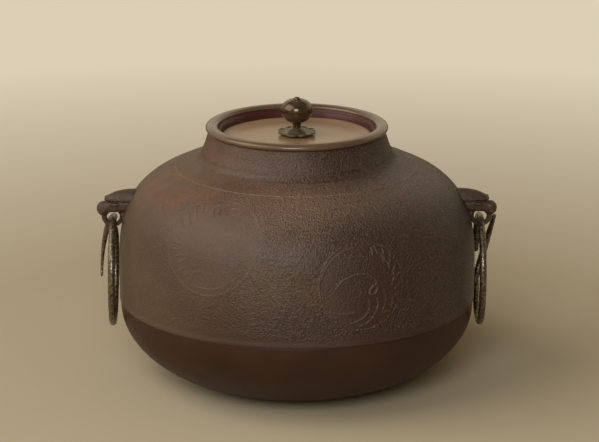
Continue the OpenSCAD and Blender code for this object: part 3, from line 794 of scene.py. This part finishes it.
def ring(name, path, turn, tip_r, taper, seed):
    """Forged ring: a round section carried along the wire's path, drawn out thin at both ends and uneven
    where the hammer met it, each blow a soft flat some millimetres long. Its path is turned over by the
    signs in turn, and its leaning end thins over the length taper down to tip_r."""
    full_r, short_taper, tip_round = WIRE_R - 0.06, 9, 1.2
    blow_length, blows_round, blow_depth = 3.2, 8, 0.035
    run = run_length(path)
    even = np.linspace(0, run[-1], 420)
    path = np.stack([np.interp(even, run, path[:, k]) for k in range(3)], 1)
    ahead = np.gradient(path, axis=0)
    ahead /= np.linalg.norm(ahead, axis=1)[:, None]
    outward = np.array([1.0, 0, 0]) - ahead * ahead[:, :1]
    outward /= np.linalg.norm(outward, axis=1)[:, None]
    sideways = np.cross(ahead, outward)
    to_far_end = even[-1] - even
    radius = tip_r + (full_r - tip_r) * np.minimum(ease(-8, taper, even), ease(-8, short_taper, to_far_end))
    to_end = np.minimum(even, to_far_end)
    radius *= np.sqrt(np.clip(1 - (1 - np.minimum(to_end / tip_round, 1)) ** 2, 0.02, 1))
    a = np.radians(np.arange(0, 360, 15))
    blows = np.random.default_rng(seed).uniform(-1, 0, (int(even[-1] / blow_length), blows_round))
    row = np.linspace(0, len(blows) - 1.001, len(even))
    col = np.arange(len(a)) * blows_round / len(a)
    i, j = row.astype(int), col.astype(int)
    j2 = (j + 1) % blows_round
    s, t = ease(0, 1, row - i)[:, None], ease(0, 1, col - j)[None, :]
    low, high = (blows[k][:, j] * (1 - t) + blows[k][:, j2] * t for k in (i, i + 1))
    radius = radius[:, None] * (1 + blow_depth * (low * (1 - s) + high * s))
    rings = path[:, None] + radius[..., None] * (
        np.cos(a)[None, :, None] * outward[:, None] + np.sin(a)[None, :, None] * sideways[:, None])
    return mesh_of(name, skin(rings * turn + (turn[0] * HANG_R, 0, HANG_Z)), 60)


# Lid, knob and washer

# The dish is drawn a little shallower and the ball a little taller than in the solids
FLOOR_LIFT = 0.9
CROWN_LIFT = 0.9
# Radius of the knob's pin, and of the hole for it
PIN_R = 1.7
PIN_HOLE_R = 1.75


def lid():
    """Lid: its outline turned round the axis. A rolled rim, a dish wall with a fine ridge on its ledge, a
    groove at its foot and a flat floor."""
    low, high = span("lid")
    edge_r, rim_z, under_z = high[0], high[2], low[2]
    seat_z = MOUTH_Z + 0.1
    plug_r, rim_in_r, ledge_r, floor_r = BORE_R - 0.8, 53.7, 52.9, 50.9
    ledge_z, floor_z = rim_z - 4.4, rim_z - 9.2 + FLOOR_LIFT
    roll_r, rim_r, rim_half = 2.1, 57.95, 4.25
    outline = np.vstack([
        [(PIN_HOLE_R, under_z), (12, under_z), (30, under_z), (plug_r - 3.3, under_z)],
        [(plug_r - 2.7, under_z + 0.15), (plug_r - 0.2, floor_z - 0.3), (plug_r, floor_z)],
        [(plug_r, seat_z - 0.3), (plug_r + 0.3, seat_z)],
        arc((edge_r - roll_r, seat_z + roll_r), roll_r, -90, 0, 12),
        arc((rim_r, seat_z + roll_r), (rim_half, rim_z - seat_z - roll_r), 0, 180, 30)[1:],
        [(rim_in_r - 0.25, seat_z + 1.4), (ledge_r, ledge_z + 0.25)],
        arc((ledge_r - 0.55, ledge_z), (0.45, 0.35), 20, 160, 7),
        [(ledge_r - 1.2, ledge_z - 0.2), (floor_r + 0.35, floor_z + 0.6)],
        arc((floor_r - 0.35, floor_z + 0.1), (0.55, 0.45), 0, -180, 8),
        [(floor_r - 1.1, floor_z), (40, floor_z), (25, floor_z), (12, floor_z), (PIN_HOLE_R, floor_z)],
    ])
    angles = np.arange(0, 360, 1.5)
    on_floor = (np.abs(outline[:, 1] - floor_z) < 0.01) & (outline[:, 0] < floor_r - 0.5)
    on_wall = (outline[:, 0] < rim_in_r + 0.6) & (outline[:, 1] > floor_z) & (outline[:, 1] < rim_z - 2.0)
    marks = {"floor": np.repeat(on_floor, len(angles)), "wall": np.repeat(on_wall, len(angles))}
    return mesh_of("lid_skin", skin(turned(*outline.T, angles), loop=True), 35), marks


def knob():
    """Knob: its outline turned round the axis. A waisted stem, a squat ball of two half ovals and a collar
    round the pin's nipple."""
    low, high = span("knob")
    foot_z, top_z, ball_r = low[2], high[2] + CROWN_LIFT, high[0]
    widest_z = top_z - 7.1
    stem = through([(3.7, foot_z), (3.2, foot_z + 0.8), (2.75, foot_z + 3.6), (2.75, foot_z + 6.4),
                    (3.1, foot_z + 8.2)], 20)
    outline = np.vstack([
        [(PIN_HOLE_R, foot_z)],
        stem,
        arc((2.9, widest_z), (ball_r - 2.9, widest_z - foot_z - 8.8), -84, 0, 40),
        arc((2.3, widest_z), (ball_r - 2.3, top_z - widest_z), 0, 72, 30)[1:],
        arc((3.4, top_z - 0.55), (0.75, 0.55), -10, 170, 9),
        [(2.4, top_z - 0.7), (PIN_HOLE_R, top_z - 0.7)],
    ])
    return mesh_of("knob_skin", skin(turned(*outline.T, np.arange(0, 360, 3.0)), loop=True), 35)


def knob_pin():
    """Pin through knob and lid: its outline turned round the axis, from the peened head below to the
    nipple, which has a small dent in its top."""
    low, high = span("knob_pin")
    peen_z, tip_z = low[2], high[2] - 0.05
    shank_top = span("knob")[1][2]
    under_z = span("under_washer")[0][2]
    outline = np.vstack([
        arc((0, under_z), (3.3, under_z - peen_z), -86, 0, 10),
        [(PIN_R, under_z), (PIN_R, shank_top - 0.5), (2.2, shank_top - 0.45)],
        through([(2.3, shank_top), (2.2, tip_z - 1.2), (1.75, tip_z - 0.25), (1.35, tip_z),
                 (0.95, tip_z - 0.15), (0.7, tip_z - 0.8), (0.25, tip_z - 1.0)], 30),
    ])
    return mesh_of("knob_pin_skin", skin(turned(*outline.T, np.arange(0, 360, 7.5))), 40)


def knob_washer():
    """Petal washer: a polar sheet from the pin's hole out to a scalloped edge, domed up to the stem and
    standing on a solid foot. The edge is a circle about each petal's middle, cut in between the petals, and a
    petal is cupped: its height grows with the way from its middle."""
    low, high = span("knob_washer")
    petals, edge_r, foot_z = 8, high[0], low[2] + FLOOR_LIFT
    edge_h, dome_h, cup_h, sheet, notch = 1.7, 3.6, 1.3, 1.0, 0.9
    petal_r = edge_r * np.sin(np.pi / petals) * 1.1
    petal_at = edge_r - petal_r
    angles = np.arange(0, 360, 1.5)
    off = np.radians((angles % (360 / petals)) - 180 / petals)
    outer = petal_at * np.cos(off) + np.sqrt(petal_r**2 - (petal_at * np.sin(off)) ** 2)
    outer -= notch * np.abs(off * petals / np.pi) ** 7
    r = PIN_HOLE_R + np.linspace(0, 1, 32)[:, None] * (outer - PIN_HOLE_R)
    to_middle = np.minimum(np.sqrt(r**2 + petal_at**2 - 2 * r * petal_at * np.cos(off)) / petal_r, 1)
    height = edge_h + dome_h * (1 - ease(2.0, 11.5, r)) + cup_h * to_middle**2.6 * ease(5.0, 10.0, r)
    under = turned(r, foot_z + (height - sheet) * ease(5.8, 8.0, r), angles)
    top = turned(r, foot_z + height, angles)
    return mesh_of("knob_washer_skin", skin(np.concatenate([under, top[::-1]]), loop=True), 50)


# The kettle put together

upper_mesh, upper_marks = upper_casting()
place(upper_mesh, sand_cast_iron(), "kettle", "upper_iron", "upper_casting", marks=upper_marks)
place(bottom_casting(), smooth_cast_iron(), "kettle", "bottom_iron", "bottom_casting")
place(lug("left_lug_head", -1), lug_iron, "kettle", "lug_iron", "left_lug")
place(lug("right_lug_head", 1), lug_iron, "kettle", "lug_iron", "right_lug")
left_path = wire_path(LEFT_HANG, end_sweep=87, lean=15.0, yaw=0.8, swing=0.8)
left_wire = ring("left_ring_wire", left_path, turn=(-1, 1, 1), tip_r=0.75, taper=56, seed=11)
place(left_wire, forged_iron, "left_ring", "ring_iron", "left_ring")
right_path = wire_path(RIGHT_HANG, end_sweep=78, lean=17.5, yaw=0, swing=0)
right_wire = ring("right_ring_wire", right_path, turn=(1, -1, 1), tip_r=1.3, taper=40, seed=23)
place(right_wire, forged_iron, "right_ring", "ring_iron", "right_ring")
lid_mesh, lid_marks = lid()
place(lid_mesh, patinated_bronze(), "lid", "lid_bronze", "lid", marks=lid_marks)
place(knob(), knob_bronze, "lid", "knob_bronze", "knob")
place(knob_pin(), knob_bronze, "lid", "knob_bronze", "knob_pin")
place(knob_washer(), washer_bronze, "lid", "washer_bronze", "knob_washer")

# Solids that keep their own shape
inner_finish = {"seam_lacquer": joint_lacquer, "plate_lacquer": joint_lacquer, "under_washer": washer_bronze}
inner_finish.update({f"sounding_plate_{i}": plate_iron for i in range(1, 6)})
for node, solid in frame["nodes"].items():
    if node in inner_finish:
        solid.data.materials.clear()
        solid.data.materials.append(inner_finish[node])


# Stage, light and camera


def pale_paper():
    """Plain pale paper of the stage. Rays from the camera see it far off as an even pale tone, gloss sees it
    above about half a metre and mostly behind, and near the kettle it keeps the shadow."""
    material, tree, shader = finish("pale_paper", Roughness=0.9, Specular_IOR_Level=0.1)
    shader.inputs["Base Color"].default_value = linear("#cfc2a6")
    place_at = add(tree, "TexCoord", out="Object")
    way = add(tree, "VectorMath", [(0, place_at)], operation="LENGTH", out="Value")
    height = add(tree, "SeparateXYZ", [(0, place_at)], out="Z")
    depth = add(tree, "SeparateXYZ", [(0, place_at)], out="Y")
    far = add(tree, "MapRange", [("Value", way), ("From Min", 0.3), ("From Max", 1.0)])
    high = add(tree, "MapRange", [("Value", height), ("From Min", 0.3), ("From Max", 0.7)])
    behind = add(tree, "MapRange", [("Value", depth), ("From Min", 0.0), ("From Max", 1.5), ("To Min", 0.15)])
    path = tree.nodes.new("ShaderNodeLightPath").outputs
    seen = add(tree, "Math", [(0, path["Is Camera Ray"]), (1, path["Is Transmission Ray"])],
               operation="MAXIMUM")
    seen = add(tree, "Math", [(0, seen), (1, far)], operation="MULTIPLY")
    mirrored = add(tree, "Math", [(0, high), (1, behind)], operation="MULTIPLY")
    mirrored = add(tree, "Math", [(0, mirrored), (1, path["Is Glossy Ray"])], operation="MULTIPLY")
    share = add(tree, "Math", [(0, seen), (1, mirrored)], operation="MAXIMUM")
    glow = add(tree, "Emission", [("Color", linear("#dccfb6")), ("Strength", 1.0)])
    both = add(tree, "MixShader", [(0, share), (1, shader.outputs[0]), (2, glow)])
    tree.links.new(both, tree.nodes["Material Output"].inputs["Surface"])
    return material


def pale_floor():
    """Plain floor that turns up into a backdrop far off, all round: its outline turned round the axis,
    without the fan that would close its top."""
    flat_r, bend_r, top_z = 3000, 1500, 4000
    outline = np.vstack([
        np.linspace((20, 0), (flat_r, 0), 12),
        arc((flat_r, bend_r), bend_r, -90, 0, 24)[1:],
        [(flat_r + bend_r, top_z)],
    ])
    points, faces = skin(turned(*outline.T, np.arange(0, 360, 5.0)))
    mesh = bpy.data.meshes.new("floor")
    mesh.from_pydata(points * MM, [], [face for face in faces if len(points) - 1 not in face])
    mesh.shade_smooth()
    mesh.materials.append(pale_paper())
    floor = bpy.data.objects.new("floor", mesh)
    bpy.context.scene.collection.objects.link(floor)


def soft_light(name, azimuth, elevation, distance, size, power, colour):
    """Square soft lamp at an angle round and above the kettle, aimed at its middle."""
    lamp = bpy.data.lights.new(name, "AREA")
    lamp.size = size
    lamp.energy = power
    lamp.color = linear(colour)[:3]
    around, up = np.radians(azimuth), np.radians(elevation)
    way = np.array([np.sin(around) * np.cos(up), -np.cos(around) * np.cos(up), np.sin(up)])
    holder = bpy.data.objects.new(name, lamp)
    kettle_middle = (0, 0, 0.1)
    holder.location = way * distance + kettle_middle
    holder.rotation_euler = (np.pi / 2 - up, 0, around)
    bpy.context.scene.collection.objects.link(holder)


pale_floor()
soft_light("key_light", azimuth=-74, elevation=38, distance=2.4, size=2.4, power=33, colour="#fff8ee")
soft_light("front_light", azimuth=-7, elevation=27, distance=2.2, size=0.9, power=17.5, colour="#ffffff")
world = bpy.data.worlds.new("soft_world")
world.use_nodes = True
world.node_tree.nodes["Background"].inputs["Color"].default_value = linear("#f4e2c4")
world.node_tree.nodes["Background"].inputs["Strength"].default_value = 0.24
bpy.context.scene.world = world

# The view of the picture: 599 by 442 pixels, a long lens 1.8 m off, looking down on the kettle
camera = bpy.data.objects.new("camera", bpy.data.cameras.new("camera"))
camera.data.lens = 163.53
camera.data.sensor_width = 36
camera.location = (-0.0157, -1.7999, 0.6228)
camera.rotation_euler = np.radians([90 - 15.909, 0, -0.557])
bpy.context.scene.collection.objects.link(camera)
bpy.context.scene.camera = camera
bpy.context.scene.view_settings.view_transform = "Standard"
